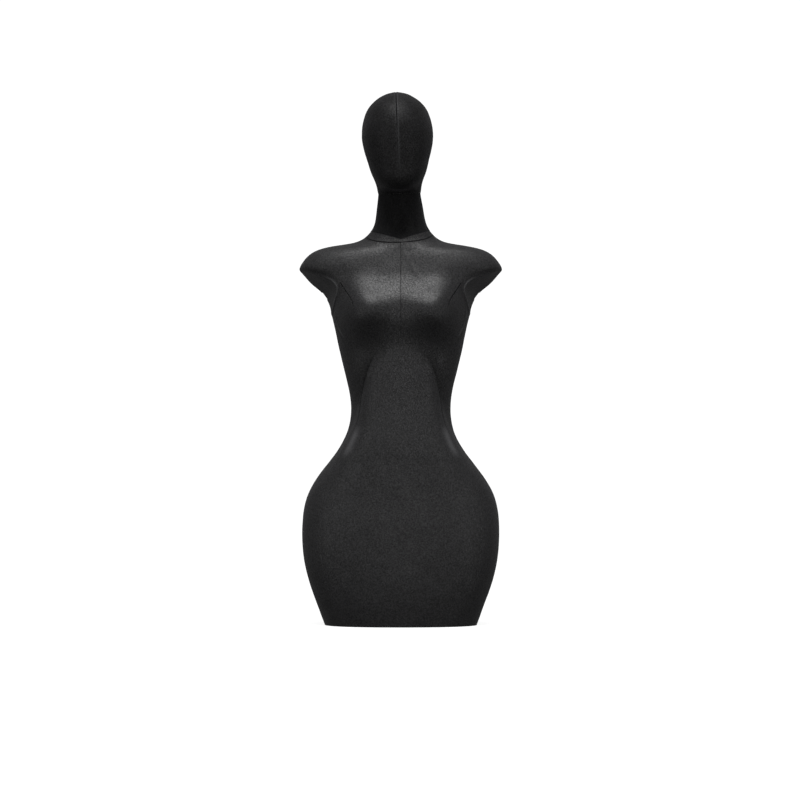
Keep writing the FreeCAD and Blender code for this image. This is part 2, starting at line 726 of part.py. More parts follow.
def build_base():
    """The board inside the hem, with the pole socket screwed under it."""
    bottom, top = size("base_bottom"), amount("base_bottom + base_thickness")
    here = FreeCAD.Placement()
    board = skin("torso", size("board_edge")).common(slab(ORIGIN, UP, bottom, top))
    board = board.cut(rod(size("base_hole_radius"), here, 0, top + 1))
    board = drill_ring(board, here, size("pilot_radius"), 0, bottom + size("pilot_depth"),
                       "flange_screw_circle", "flange_screw_count")
    solid_part("base_board", board)

    flange_top = "base_bottom - glue_gap"
    flange_low = flange_top + " - flange_thickness"
    socket = turned("pole_socket", [
        ("bore_radius", "socket_mouth"), ("tube_radius", "socket_mouth"), ("tube_radius", flange_low),
        ("flange_radius", flange_low), ("flange_radius", flange_top), ("tube_radius", flange_top),
        ("tube_radius", "socket_top"), ("axis", "socket_top"), ("axis", "bore_top"),
        ("bore_radius", "bore_top")])
    hole = new_sketch(socket, "XY_Plane", flange_low)
    draw_circle(hole, "flange_hole_radius", "flange_screw_circle", "axis")
    probe = V(size("flange_screw_circle"), 0, amount(flange_low) + 1)
    repeat_round(socket, pocket(socket, hole, "flange_thickness", probe), "flange_screw_count")
    clamp_hole = new_sketch(socket, "XZ_Plane")
    draw_circle(clamp_hole, "clamp_hole_radius", "axis", "clamp_height")
    pocket(socket, clamp_hole, "flange_radius", V(0, amount("tube_radius - glue_gap"), size("clamp_height")))

    head_low = flange_low + " - screw_head_height - glue_gap"
    screw = turned_body("flange_screw", screw_outline(head_low, "screw_head_height", "screw_length"))
    ring_of_copies("flange_screws", screw, "flange_screw_circle", "flange_screw_count")


def build_clamp():
    """The thumbscrew that holds the pole: a nut welded to the socket, the screw, its knob and its swivel pad."""
    hexagon_nut("clamp_nut", "clamp_nut_circumradius", "clamp_nut_height", "thread_bore_radius",
                in_clamp(size("clamp_nut_start")))
    floor = "pad_length - nose_hole_depth"
    turned("clamp_pad", [
        ("axis", "axis"), ("pad_radius", "axis"), ("pad_radius", "pad_length"),
        ("nose_hole_radius", "pad_length"), ("nose_hole_radius", floor), ("axis", floor)],
        in_clamp(size("pad_face")))
    end = "nose_length + shank_length"
    turned("thumbscrew_shank", [
        ("axis", "axis"), ("nose_radius", "axis"), ("nose_radius", "nose_length"),
        ("thread_radius", "nose_length"), ("thread_radius", end), ("axis", end)],
        in_clamp(amount("shank_start - nose_length")))

    knob = turned_body("thumbscrew_knob", [
        ("axis", "axis"), ("knob_radius - knob_edge", "axis"), ("knob_radius", "knob_edge"),
        ("knob_radius", "knob_length - knob_edge"), ("knob_radius - knob_edge", "knob_length"),
        ("axis", "knob_length")], in_clamp(size("knob_start")))
    flute = new_sketch(knob, "XY_Plane")
    draw_circle(flute, "knob_flute_radius", "knob_flute_circle", "axis")
    probe = V(amount("knob_radius - knob_edge"), 0, amount("knob_length - knob_edge"))
    repeat_round(knob, pocket(knob, flute, "knob_length", probe), "knob_flute_count")
    bore = new_sketch(knob, "XY_Plane")
    draw_circle(bore, "thread_bore_radius", "axis", "axis")
    pocket(knob, bore, "knob_bore_depth", V(0, 0, size("knob_edge")))
    keep("thumbscrew_knob", knob)


def build_neck_socket():
    """The board that closes the neckline, with the socket for the neck's peg."""
    bottom, thickness = size("neck_board_bottom"), size("neck_board_thickness")
    here = on_neckline(0)
    board = skin("torso", size("board_edge")).common(slab(NECKLINE, NECK_NORMAL, bottom, bottom + thickness))
    board = board.cut(rod(size("neck_socket_hole_radius"), here, bottom - 1, bottom + thickness + 1))
    board = drill_ring(board, here, size("pilot_radius"), bottom + 2, bottom + thickness + 1,
                       "socket_screw_circle", "socket_screw_count")
    solid_part("neck_board", biggest(board))

    low = bottom + thickness + size("glue_gap") - size("socket_tube_length")
    flange_top = "socket_tube_length + socket_flange_thickness"
    socket = turned("neck_socket", [
        ("axis", "axis"), ("neck_socket_radius", "axis"), ("neck_socket_radius", "socket_tube_length"),
        ("socket_flange_radius", "socket_tube_length"), ("socket_flange_radius", flange_top),
        ("peg_bore_radius", flange_top), ("peg_bore_radius", "socket_floor"), ("axis", "socket_floor")],
        on_neckline(low))
    hole = new_sketch(socket, "XY_Plane", "socket_tube_length")
    draw_circle(hole, "flange_hole_radius", "socket_screw_circle", "axis")
    probe = V(size("socket_screw_circle"), 0, amount("socket_tube_length") + 1)
    repeat_round(socket, pocket(socket, hole, "socket_flange_thickness", probe), "socket_screw_count")

    upside_down = FreeCAD.Placement(V(0, 0, 0), FreeCAD.Rotation(V(1, 0, 0), 180))
    head_top = low + amount(flange_top + " + glue_gap + screw_head_height")
    place = on_neckline(head_top).multiply(upside_down)
    screw = turned_body("socket_screw", screw_outline("axis", "screw_head_height", "socket_screw_length"), place)
    ring_of_copies("socket_screws", screw, "socket_screw_circle", "socket_screw_count")


def build_neck():
    """The neck: a moulded sleeve under its own cover, closed by a board with a peg below and a plate above."""
    gap = size("neck_joint_gap")
    above_joint = half_space(leaned(size("neck_joint")), LEAN_AXIS)
    below_neckline = half_space(NECKLINE + NECK_NORMAL * gap, NECK_NORMAL * -1)
    for label, outside, inside in (
            ("neck_cover", 0, size("cover_thickness")),
            ("neck_shell", size("neck_shell_outside"), size("neck_shell_inside"))):
        solid_part(label, biggest(layer("neck", outside, inside).cut(above_joint).cut(below_neckline)))
    inside = skin("neck", size("neck_board_edge"))
    low = size("neck_base_bottom")
    high = low + size("neck_base_thickness")
    base = inside.common(slab(NECKLINE, NECK_NORMAL, low, high))
    base = base.cut(rod(amount("peg_radius + glue_gap"), on_neckline(0), low - 1, high + 1))
    solid_part("neck_base", biggest(base))
    turned("neck_peg", [
        ("axis", "axis"), ("peg_radius - peg_edge", "axis"), ("peg_radius", "peg_edge"),
        ("peg_radius", "peg_length"), ("axis", "peg_length")], on_neckline(high - size("peg_length")))
    low = size("neck_plate_bottom")
    high = low + size("neck_plate_thickness")
    plate = inside.common(slab(leaned(0), LEAN_AXIS, low, high))
    plate = plate.cut(rod(amount("bolt_radius + glue_gap"), on_pivot(0), low - 1, high + 1))
    solid_part("neck_top_plate", biggest(plate))


def build_pivot():
    """The bolt that the head turns on, with its washers and lock nut."""
    head = primitive("Part::Prism", "bolt_head", Circumradius="bolt_head_circumradius", Height="bolt_head_height")
    shank = primitive("Part::Cylinder", "bolt_shank", Radius="bolt_radius", Height="bolt_length")
    bolt = doc.addObject("Part::Fuse", "bolt")
    bolt.Base = head
    bolt.Tool = shank
    bolt.Placement = on_pivot(amount("neck_plate_bottom - glue_gap - bolt_head_height"))
    keep("head_bolt", bolt)
    for label, outside, bottom, thickness in (
            ("friction_washer", "friction_washer_radius", "friction_washer_bottom", "friction_washer_thickness"),
            ("spring_washer", "spring_washer_radius", "spring_washer_bottom", "spring_washer_thickness")):
        turned(label, [
            ("bolt_radius + seam_gap", "axis"), (outside, "axis"), (outside, thickness),
            ("bolt_radius + seam_gap", thickness)], on_pivot(size(bottom)))
    hexagon_nut("lock_nut", "lock_nut_circumradius", "lock_nut_height", "bolt_bore_radius",
                on_pivot(size("lock_nut_bottom")))


def build_head():
    """The head: a moulded shell in two halves, padded, covered, and closed below by a board with a bush."""
    below = half_space(V(0, 0, size("head_bottom")), -UP)
    gap = size("seam_gap")
    cover = layer("head", 0, size("cover_thickness")).cut(below)
    for word, side in SIDES.items():
        half = cover.common(half_space(V(side * gap / 2, 0, 0), V(side, 0, 0)))
        solid_part("head_cover_" + word, biggest(half), LEAN_PLACE)
    padding = layer("head", size("padding_outside"), size("padding_inside")).cut(below)
    solid_part("head_padding", biggest(padding), LEAN_PLACE)
    shell = layer("head", size("shell_outside"), size("shell_inside")).cut(below)
    front, back = front_and_back(shell, size("head_seam_depth"))
    solid_part("head_shell_front", front, LEAN_PLACE)
    solid_part("head_shell_back", back, LEAN_PLACE)
    low = size("head_board_bottom")
    high = low + size("head_board_thickness")
    board = skin("head", size("board_edge")).common(slab(ORIGIN, UP, low, high))
    hole = Part.makeCylinder(size("bush_hole_radius"), high, V(0, size("pivot_depth"), low - 1))
    solid_part("head_base_board", biggest(board.cut(hole)), LEAN_PLACE)
    flange_low = "head_board_thickness + glue_gap"
    flange_top = flange_low + " + bush_flange_thickness"
    turned("head_bush", [
        ("bolt_bore_radius", "axis"), ("bush_radius", "axis"), ("bush_radius", flange_low),
        ("bush_flange_radius", flange_low), ("bush_flange_radius", flange_top),
        ("bolt_bore_radius", flange_top)], on_pivot(low))


def check_document():
    """Stops when any object failed to recompute, or a sub-part isn't a valid solid."""
    for item in doc.Objects:
        if "Invalid" in item.State or "Error" in item.State:
            raise RuntimeError(item.Name + " failed to recompute")
    for item in sub_parts:
        if item.Shape.isNull() or not item.Shape.isValid() or not item.Shape.Solids:
            raise RuntimeError(item.Label + " has no valid solid")


for build in (build_cover, build_armholes, build_hem_facing, build_torso_layers, build_base, build_clamp,
              build_neck_socket, build_neck, build_pivot, build_head):
    build()
doc.recompute()
check_document()
os.makedirs("parts", exist_ok=True)
for sub_part in sub_parts:
    sub_part.Shape.exportStep(os.path.join("parts", sub_part.Label + ".step"))
print(len(sub_parts), "sub-parts written")
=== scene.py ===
import json
import math

import bmesh
import bpy
import numpy as np
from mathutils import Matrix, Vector, noise
from mathutils.bvhtree import BVHTree


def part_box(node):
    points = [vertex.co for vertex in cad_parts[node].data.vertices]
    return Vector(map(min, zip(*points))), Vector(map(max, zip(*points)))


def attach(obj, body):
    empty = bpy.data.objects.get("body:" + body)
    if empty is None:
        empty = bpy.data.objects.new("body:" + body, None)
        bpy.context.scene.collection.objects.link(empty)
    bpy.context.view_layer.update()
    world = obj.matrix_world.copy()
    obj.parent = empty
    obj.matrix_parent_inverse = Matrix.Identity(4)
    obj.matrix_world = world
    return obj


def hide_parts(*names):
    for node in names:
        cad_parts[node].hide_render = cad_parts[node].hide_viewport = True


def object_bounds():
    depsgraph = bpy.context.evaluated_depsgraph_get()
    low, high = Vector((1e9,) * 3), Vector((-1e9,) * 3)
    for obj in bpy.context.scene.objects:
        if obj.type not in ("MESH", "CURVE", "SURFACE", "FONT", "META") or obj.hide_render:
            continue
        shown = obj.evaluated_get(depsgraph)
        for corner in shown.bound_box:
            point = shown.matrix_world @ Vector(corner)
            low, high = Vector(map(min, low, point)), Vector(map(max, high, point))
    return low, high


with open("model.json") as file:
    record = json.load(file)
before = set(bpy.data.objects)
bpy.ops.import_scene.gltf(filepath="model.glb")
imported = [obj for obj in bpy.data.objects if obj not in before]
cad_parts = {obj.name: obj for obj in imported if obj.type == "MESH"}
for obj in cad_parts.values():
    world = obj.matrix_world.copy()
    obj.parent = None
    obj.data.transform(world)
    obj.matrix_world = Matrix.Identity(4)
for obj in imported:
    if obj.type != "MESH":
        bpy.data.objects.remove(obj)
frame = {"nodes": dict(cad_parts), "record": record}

MM = 0.001
cad_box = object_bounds()
nodes = frame["nodes"]
SIDES = {"left": 1, "right": -1}
COVERS = ["cover_%s_%s" % (part, side) for part in ("front", "side", "back") for side in SIDES]

FINE_EDGE = 1.3 * MM     # longest edge of a cover mesh beside a seam
PLAIN_EDGE = 3.4 * MM    # longest edge of a cover mesh elsewhere
SEAM_ZONE = 7.0 * MM          # how far from a seam the mesh is fine
COVER_OUTSIDE = 0.8 * MM      # a point further than this from the layer below is on a cover's outside
LINE_REACH = 26.0 * MM        # a line's effect ends this far away
LINE_PART = 6                 # segments of a line looked at together
SPLIT_ROUNDS = 6              # how often a sheet's long edges are halved at most
RELAX_ROUNDS, RELAX_SHARE = 3, 0.35               # evening out of a sheet's mesh
SMOOTH_SUM = 1.9              # two unit normals add up to more than this where a surface runs on smoothly
MOST_BOW = 0.08               # a split edge's middle moves by at most this share of the edge
DEEPEST = -0.8                # lowest relief in millimetres, so the fabric stays above the padding
TURNED_IN = (30 * MM, 42 * MM)      # from an armhole rim: fabric turned in up to here, none beyond here

# ---------------------------------------------------------------------------------------------------
# Reading and refining a CAD node's mesh
# ---------------------------------------------------------------------------------------------------


def node_mesh(name):
    """A CAD node as points, one normal per point, marks for points on a sharp edge, and triangles."""
    mesh = nodes[name].data
    mesh.calc_loop_triangles()
    points = np.empty(len(mesh.vertices) * 3)
    mesh.vertices.foreach_get("co", points)
    points = points.reshape(-1, 3)
    corner = np.empty(len(mesh.loops) * 3)
    mesh.corner_normals.foreach_get("vector", corner)
    owner = np.empty(len(mesh.loops), dtype=np.int64)
    mesh.loops.foreach_get("vertex_index", owner)
    faces = np.empty(len(mesh.loop_triangles) * 3, dtype=np.int64)
    mesh.loop_triangles.foreach_get("vertices", faces)
    _, first, group = np.unique(np.round(points * 1e6).astype(np.int64), axis=0,
                                return_index=True, return_inverse=True)
    group = group.ravel()
    sharp = np.bincount(group) > 1
    normals = np.zeros((len(first), 3))
    np.add.at(normals, group[owner], corner.reshape(-1, 3))
    normals /= np.maximum(np.linalg.norm(normals, axis=1, keepdims=True), 1e-12)
    faces = group[faces.reshape(-1, 3)]
    keep = (faces[:, 0] != faces[:, 1]) & (faces[:, 1] != faces[:, 2]) & (faces[:, 2] != faces[:, 0])
    return points[first], normals, sharp, faces[keep]


def face_normals(points, faces):
    a, b, c = (points[faces[:, k]] for k in range(3))
    normals = np.cross(b - a, c - a)
    return normals / np.maximum(np.linalg.norm(normals, axis=1, keepdims=True), 1e-15)


def edge_table(faces):
    """Every edge once, and for each face the numbers of its three edges."""
    pairs = np.sort(np.vstack((faces[:, [0, 1]], faces[:, [1, 2]], faces[:, [2, 0]])), axis=1)
    span = faces.max() + 1
    keys, index = np.unique(pairs[:, 0] * span + pairs[:, 1], return_inverse=True)
    return np.column_stack((keys // span, keys % span)), index.ravel().reshape(3, -1).T


def split_once(points, normals, sharp, outside, faces, limit):
    """Splits each outside edge longer than its limit, keeping the surface's curve."""
    edges, face_edges = edge_table(faces)
    a, b = edges.T
    span = points[b] - points[a]
    length = np.linalg.norm(span, axis=1)
    middle = (points[a] + points[b]) / 2
    long_edge = (length > limit(middle)) & outside[a] & outside[b]
    if not long_edge.any():
        return None
    flat = face_normals(points, faces)
    total = np.zeros((len(edges), 3))
    for k in range(3):
        np.add.at(total, face_edges[:, k], flat)
    meeting = np.linalg.norm(total, axis=1)
    crease = sharp[a] & sharp[b] & (meeting < SMOOTH_SUM)
    term_a = (span * normals[a]).sum(1)[:, None] * normals[a]
    term_b = -(span * normals[b]).sum(1)[:, None] * normals[b]
    both = sharp[a] & sharp[b]
    term_a, term_b = np.where(sharp[a][:, None], term_b, term_a), np.where(sharp[b][:, None], term_a, term_b)
    bow = -(term_a + term_b) / 8
    bow[both] = 0
    size = np.linalg.norm(bow, axis=1)
    bow *= np.minimum(1, MOST_BOW * length / np.maximum(size, 1e-12))[:, None]
    middle += bow
    chosen = np.flatnonzero(long_edge)
    number = np.full(len(edges), -1)
    number[chosen] = len(points) + np.arange(len(chosen))
    new_normals = np.where(sharp[a][:, None] & ~sharp[b][:, None], normals[b],
                           np.where(sharp[b][:, None] & ~sharp[a][:, None], normals[a],
                                    normals[a] + normals[b]))
    new_normals = np.where(both[:, None], total, new_normals)[chosen]
    new_normals /= np.maximum(np.linalg.norm(new_normals, axis=1, keepdims=True), 1e-12)
    points = np.vstack((points, middle[chosen]))
    normals = np.vstack((normals, new_normals))
    sharp = np.concatenate((sharp, crease[chosen]))
    outside = np.concatenate((outside, np.ones(len(chosen), dtype=bool)))
    return points, normals, sharp, outside, split_faces(points, faces, number[face_edges])


def split_faces(points, faces, mids):
    """Triangles again, from triangles with up to three split edges."""
    count = (mids >= 0).sum(1)
    result = [faces[count == 0]]
    for k in range(3):
        order, turned = [k, (k + 1) % 3, (k + 2) % 3], mids[:, [k, (k + 1) % 3, (k + 2) % 3]]
        one = (count == 1) & (turned[:, 0] >= 0)
        f, m = faces[one][:, order], turned[one]
        result += [np.column_stack((f[:, 0], m[:, 0], f[:, 2])), np.column_stack((m[:, 0], f[:, 1], f[:, 2]))]
        two = (count == 2) & (turned[:, 2] < 0)
        f, m = faces[two][:, order], turned[two]
        result.append(np.column_stack((m[:, 0], f[:, 1], m[:, 1])))
        across = np.linalg.norm(points[f[:, 0]] - points[m[:, 1]], axis=1)
        along = np.linalg.norm(points[m[:, 0]] - points[f[:, 2]], axis=1)
        pick = across < along
        g, n = f[pick], m[pick]
        result += [np.column_stack((g[:, 0], n[:, 0], n[:, 1])), np.column_stack((g[:, 0], n[:, 1], g[:, 2]))]
        g, n = f[~pick], m[~pick]
        result += [np.column_stack((g[:, 0], n[:, 0], g[:, 2])), np.column_stack((n[:, 0], n[:, 1], g[:, 2]))]
    f, m = faces[count == 3], mids[count == 3]
    result += [np.column_stack((f[:, 0], m[:, 0], m[:, 2])), np.column_stack((f[:, 1], m[:, 1], m[:, 0])),
               np.column_stack((f[:, 2], m[:, 2], m[:, 1])), m]
    return np.vstack(result)


def relax(points, sharp, faces):
    """Evens out a mesh: points move towards their neighbours' middle, and those on a sharp edge along it."""
    edges, face_edges = edge_table(faces)
    flat = face_normals(points, faces)
    total = np.zeros((len(edges), 3))
    for k in range(3):
        np.add.at(total, face_edges[:, k], flat)
    rim = sharp[edges].all(1) & (np.linalg.norm(total, axis=1) < SMOOTH_SUM)
    for chosen, who in ((~sharp[edges].all(1) | ~rim, ~sharp), (rim, sharp)):
        used = edges[chosen]
        for _ in range(RELAX_ROUNDS):
            goal = np.zeros_like(points)
            number = np.zeros(len(points))
            for k in (0, 1):
                np.add.at(goal, used[:, k], points[used[:, 1 - k]])
                np.add.at(number, used[:, k], 1)
            move = goal / np.maximum(number, 1)[:, None] - points
            able = who & (number == 2 if who is sharp else number > 2)
            points = points + RELAX_SHARE * move * able[:, None]
    return points


def under_tree(names):
    """One search tree over several CAD nodes."""
    vertices, triangles = [], []
    for name in names:
        points, _, _, faces = node_mesh(name)
        triangles += (faces + len(vertices)).tolist()
        vertices += points.tolist()
    return BVHTree.FromPolygons(vertices, triangles)


def distances(points, tree):
    return np.array([tree.find_nearest(Vector(point))[3] for point in points])


class Sheet:
    """A fabric panel: a CAD node's mesh made finer, whose outside can be raised and lowered."""

    def __init__(self, node, below, lines, plain=PLAIN_EDGE):
        self.node = node
        points, normals, sharp, faces = node_mesh(node)
        outside = distances(points, below) > COVER_OUTSIDE
        state = (points, normals, sharp, outside, faces)

        def limit(middle):
            near = np.full(len(middle), np.inf)
            for line in lines:
                near = np.minimum(near, line.distance(middle, SEAM_ZONE)[0])
            return np.where(near < SEAM_ZONE, FINE_EDGE, plain)

        for _ in range(SPLIT_ROUNDS):
            after = split_once(*state, limit)
            if after is None:
                break
            state = after
        self.points, _, self.sharp, self.outside, self.faces = state
        self.points = relax(self.points, self.sharp, self.faces)

    def normals(self):
        """Normals of the outside, from its own faces only."""
        outer = self.faces[self.outside[self.faces].all(1)]
        a, b, c = (self.points[outer[:, k]] for k in range(3))
        flat = np.cross(b - a, c - a)
        total = np.zeros_like(self.points)
        for k in range(3):
            np.add.at(total, outer[:, k], flat)
        return total / np.maximum(np.linalg.norm(total, axis=1, keepdims=True), 1e-15)

    def raise_by(self, height, shade_and_turned_in=None, painted_highlight=None):
        """Moves the outside along its normals by so many metres at each point, and keeps its marks."""
        self.points = self.points + self.normals() * (height * self.outside)[:, None]
        zero = np.zeros(len(self.points))
        # The first mark is painted shade on the covers and turned-in fabric on the padding; the second is a
        # painted highlight.
        self.marks = {"shade_and_turned_in": zero if shade_and_turned_in is None else shade_and_turned_in, "painted_highlight": zero if painted_highlight is None else painted_highlight}

    def close_gap(self, neighbour, reach=0.35 * MM):
        """Brings the sharp edge facing a neighbour to the middle of the gap between them."""
        for k in np.flatnonzero(self.sharp):
            place, _, _, distance = neighbour.find_nearest(Vector(self.points[k]), reach)
            if place is not None:
                self.points[k] = (self.points[k] + np.array(place)) / 2

    def build(self, name, material, body):
        piece = new_piece(name, self.points, self.faces, material, body, (self.node,))
        for mark, values in self.marks.items():
            layer = piece.data.attributes.new(mark, "FLOAT", "POINT")
            layer.data.foreach_set("value", np.clip(values, 0, 1))
        return piece


def new_piece(name, points, faces, material, body, replaced):
    mesh = bpy.data.meshes.new(name)
    mesh.from_pydata(points.tolist(), [], faces.tolist())
    mesh.validate()
    mesh.materials.append(material)
    piece = bpy.data.objects.new(name, mesh)
    bpy.context.scene.collection.objects.link(piece)
    mesh.shade_smooth()
    mesh.set_sharp_from_angle(angle=math.radians(50))
    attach(piece, body)
    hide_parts(*replaced)
    return piece


# ---------------------------------------------------------------------------------------------------
# Lines on the covers
# ---------------------------------------------------------------------------------------------------
class Line:
    """A line in space, and how far points are from it."""

    def __init__(self, places, closed=False):
        places = np.array(places, dtype=float)
        if closed:
            places = np.vstack((places, places[:1]))
        self.start, self.end = places[:-1], places[1:]
        lengths = np.linalg.norm(self.end - self.start, axis=1)
        self.run = np.concatenate(([0], np.cumsum(lengths)))
        self.length = self.run[-1]

    def distance(self, points, reach=LINE_REACH):
        """For each point its distance from the line, 1 m where that is out of reach, and how far along."""
        best = np.full(len(points), 1.0)
        along = np.zeros(len(points))
        for first in range(0, len(self.start), LINE_PART):
            ends = np.vstack((self.start[first:first + LINE_PART], self.end[first:first + LINE_PART]))
            inside = (points > ends.min(0) - reach) & (points < ends.max(0) + reach)
            near = np.flatnonzero(inside.all(1))
            if not len(near):
                continue
            places, gaps, runs = points[near], best[near], along[near]
            for k in range(first, min(first + LINE_PART, len(self.start))):
                a, way = self.start[k], self.end[k] - self.start[k]
                long_way = max(way @ way, 1e-18)
                t = np.clip((places - a) @ way / long_way, 0, 1)
                gap = np.linalg.norm(places - a - t[:, None] * way, axis=1)
                nearer = gap < gaps
                gaps = np.where(nearer, gap, gaps)
                runs = np.where(nearer, self.run[k] + t * math.sqrt(long_way), runs)
            best[near], along[near] = gaps, runs
        return best, along


def edge_points(node, other_tree, reach=0.5 * MM):
    """Points of a CAD cover's outer edge that face a neighbour."""
    points, _, sharp, _ = node_mesh(node)
    outside = distances(points, padding_tree) > COVER_OUTSIDE
    near = distances(points, other_tree) < reach
    return points[sharp & outside & near]


def thin_out(places, step=4 * MM):
    """Leaves out points closer together than a step."""
    kept = [places[0]]
    for place in places[1:]:
        if np.linalg.norm(place - kept[-1]) > step:
            kept.append(place)
    return np.array(kept)


def rising_line(places):
    return Line(thin_out(places[np.argsort(places[:, 2])]))


def ring_line(places, first, second):
    """A closed line through points round their middle, seen along the remaining axis."""
    middle = (places.max(0) + places.min(0)) / 2
    turn = np.arctan2(places[:, second] - middle[second], places[:, first] - middle[first])
    return Line(thin_out(places[np.argsort(turn)]), closed=True)


def bump_of(distance, width):
    return np.exp(-(distance / width) ** 2)


def ramp(value, start, end):
    """0 at start, 1 at end, smooth in between."""
    t = np.clip((value - start) / (end - start), 0, 1)
    return t * t * (3 - 2 * t)


def ripple(points, size, seed):
    """Smooth random heights between -1 and 1, with features of about this size."""
    shift = Vector((seed * 7.3, seed * 3.1, seed * 5.7))
    return np.array([noise.noise(Vector(point) / size + shift) for point in points])


padding_tree = under_tree(["padding_front", "padding_back"])
torso_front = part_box("cover_front_left")[0][1]
cover_top = max(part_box(node)[1][2] for node in COVERS)
half_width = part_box("cover_back_left")[1][0]
front_tree = under_tree([node for node in COVERS if "back" not in node] + ["neckband"])


def on_front(across, up):
    """The place on the front of the cover at fractions of the half width and of the cover's height."""
    x, z = across * half_width, up * cover_top
    hit = front_tree.ray_cast(Vector((x, -1, z)), Vector((0, 1, 0)))[0]
    return np.array(hit or front_tree.find_nearest(Vector((x, torso_front * 0.6, z)))[0])


def front_line(spots, steps=6):
    """A smooth line on the front through spots given as fractions."""
    spots = np.array(spots)
    padded = np.vstack((2 * spots[0] - spots[1], spots, 2 * spots[-1] - spots[-2]))
    places = []
    for k in range(1, len(padded) - 2):
        p0, p1, p2, p3 = padded[k - 1:k + 3]
        for step in range(steps):
            t = step / steps
            places.append(0.5 * (2 * p1 + (p2 - p0) * t + (2 * p0 - 5 * p1 + 4 * p2 - p3) * t * t
                                 + (3 * p1 - p0 - 3 * p2 + p3) * t ** 3))
    places.append(spots[-1])
    return Line([on_front(*place) for place in places])


# ---------------------------------------------------------------------------------------------------
# Materials
# ---------------------------------------------------------------------------------------------------
WAVE_BAND = 0.15708           # size of one band of a wave texture whose scale is 1


class Maker:
    """Builds a node material step by step."""

    def __init__(self, name):
        self.material = bpy.data.materials.new(name)
        self.material.use_nodes = True
        self.tree = self.material.node_tree
        self.shader = self.tree.nodes["Principled BSDF"]
        self.place = self.add("ShaderNodeTexCoord").outputs["Object"]

    def add(self, kind, **settings):
        node = self.tree.nodes.new(kind)
        for key, value in settings.items():
            setattr(node, key, value)
        return node

    def link(self, a, b):
        self.tree.links.new(a, b)

    def noise(self, size_mm, detail=2.0, stretch=(1, 1, 1), rough=0.5):
        """Noise with features of a size in millimetres."""
        mapping = self.add("ShaderNodeMapping")
        mapping.inputs["Scale"].default_value = stretch
        self.link(self.place, mapping.inputs["Vector"])
        texture = self.add("ShaderNodeTexNoise")
        texture.inputs["Scale"].default_value = 1000 / size_mm
        texture.inputs["Detail"].default_value = detail
        texture.inputs["Roughness"].default_value = rough
        self.link(mapping.outputs[0], texture.inputs["Vector"])
        return texture.outputs["Fac"]

    def wave(self, size_mm, direction, distortion):
        """Bands, light and dark in turn, each of a size in millimetres."""
        texture = self.add("ShaderNodeTexWave", bands_direction=direction)
        texture.inputs["Scale"].default_value = 1000 / size_mm * WAVE_BAND
        texture.inputs["Distortion"].default_value = distortion
        self.link(self.place, texture.inputs["Vector"])
        return texture.outputs["Fac"]

    def spread(self, value, low, high, new_low=0.0, new_high=1.0):
        node = self.add("ShaderNodeMapRange")
        for key, number in (("From Min", low), ("From Max", high), ("To Min", new_low), ("To Max", new_high)):
            node.inputs[key].default_value = number
        self.link(value, node.inputs["Value"])
        return node.outputs["Result"]

    def math(self, operation, a, b):
        node = self.add("ShaderNodeMath", operation=operation)
        for socket, value in zip(node.inputs, (a, b)):
            if isinstance(value, (int, float)):
                socket.default_value = value
            else:
                self.link(value, socket)
        return node.outputs[0]

    def blend(self, factor, a, b):
        """One colour turning into another as the factor goes from 0 to 1."""
        node = self.add("ShaderNodeMix", data_type="RGBA")
        self.link(factor, node.inputs["Factor"])
        for socket, colour in ((node.inputs[6], a), (node.inputs[7], b)):
            if isinstance(colour, tuple):
                socket.default_value = (*colour, 1)
            else:
                self.link(colour, socket)
        return node.outputs[2]

    def edges(self, width_mm):
        """Bright on edges and corners, for wear."""
        bevel = self.add("ShaderNodeBevel", samples=4)
        bevel.inputs["Radius"].default_value = width_mm * MM
        plain = self.add("ShaderNodeNewGeometry").outputs["Normal"]
        product = self.add("ShaderNodeVectorMath", operation="DOT_PRODUCT")
        self.link(bevel.outputs[0], product.inputs[0])
        self.link(plain, product.inputs[1])
        return self.spread(product.outputs["Value"], 0.98, 0.8)

    def mark(self, name):
        """A mark that Sheet.build leaves on each point of its mesh, and 0 on other meshes."""
        return self.add("ShaderNodeAttribute", attribute_name=name).outputs["Fac"]

    def colour(self, value):
        self.link(value, self.shader.inputs["Base Color"])

    def set(self, **values):
        for key, value in values.items():
            socket = self.shader.inputs[key.replace("_", " ")]
            if isinstance(value, (int, float)):
                socket.default_value = value
            elif isinstance(value, tuple):
                socket.default_value = (*value, 1)
            else:
                self.link(value, socket)

    def bump(self, *layers):
        """Stacks bumps: each layer is (height, depth in millimetres)."""
        normal = None
        for height, depth in layers:
            node = self.add("ShaderNodeBump")
            node.inputs["Distance"].default_value = depth * MM
            self.link(height, node.inputs["Height"])
            if normal is not None:
                self.link(normal, node.inputs["Normal"])
            normal = node.outputs[0]
        self.link(normal, self.shader.inputs["Normal"])


SUEDE_DARK, SUEDE_LIGHT = (0.0075, 0.0073, 0.0079), (0.0235, 0.0230, 0.0246)
# Tones of the head covers' suede: painted shade, darker than the torso's so that the head reads darker.
SHADED_HEAD_DARK, SHADED_HEAD_LIGHT = (0.0060, 0.0059, 0.0061), (0.0205, 0.0202, 0.0209)
VELVET_DARK, VELVET_LIGHT = (0.0030, 0.0030, 0.0032), (0.0170, 0.0170, 0.0178)
# Painted shade for seams, darts and creases, and a painted highlight for ridges, armhole rims and hip
# shelves.
SEAM_SHADE, PAINTED_HIGHLIGHT = (0.0015, 0.0015, 0.0016), (0.105, 0.105, 0.110)


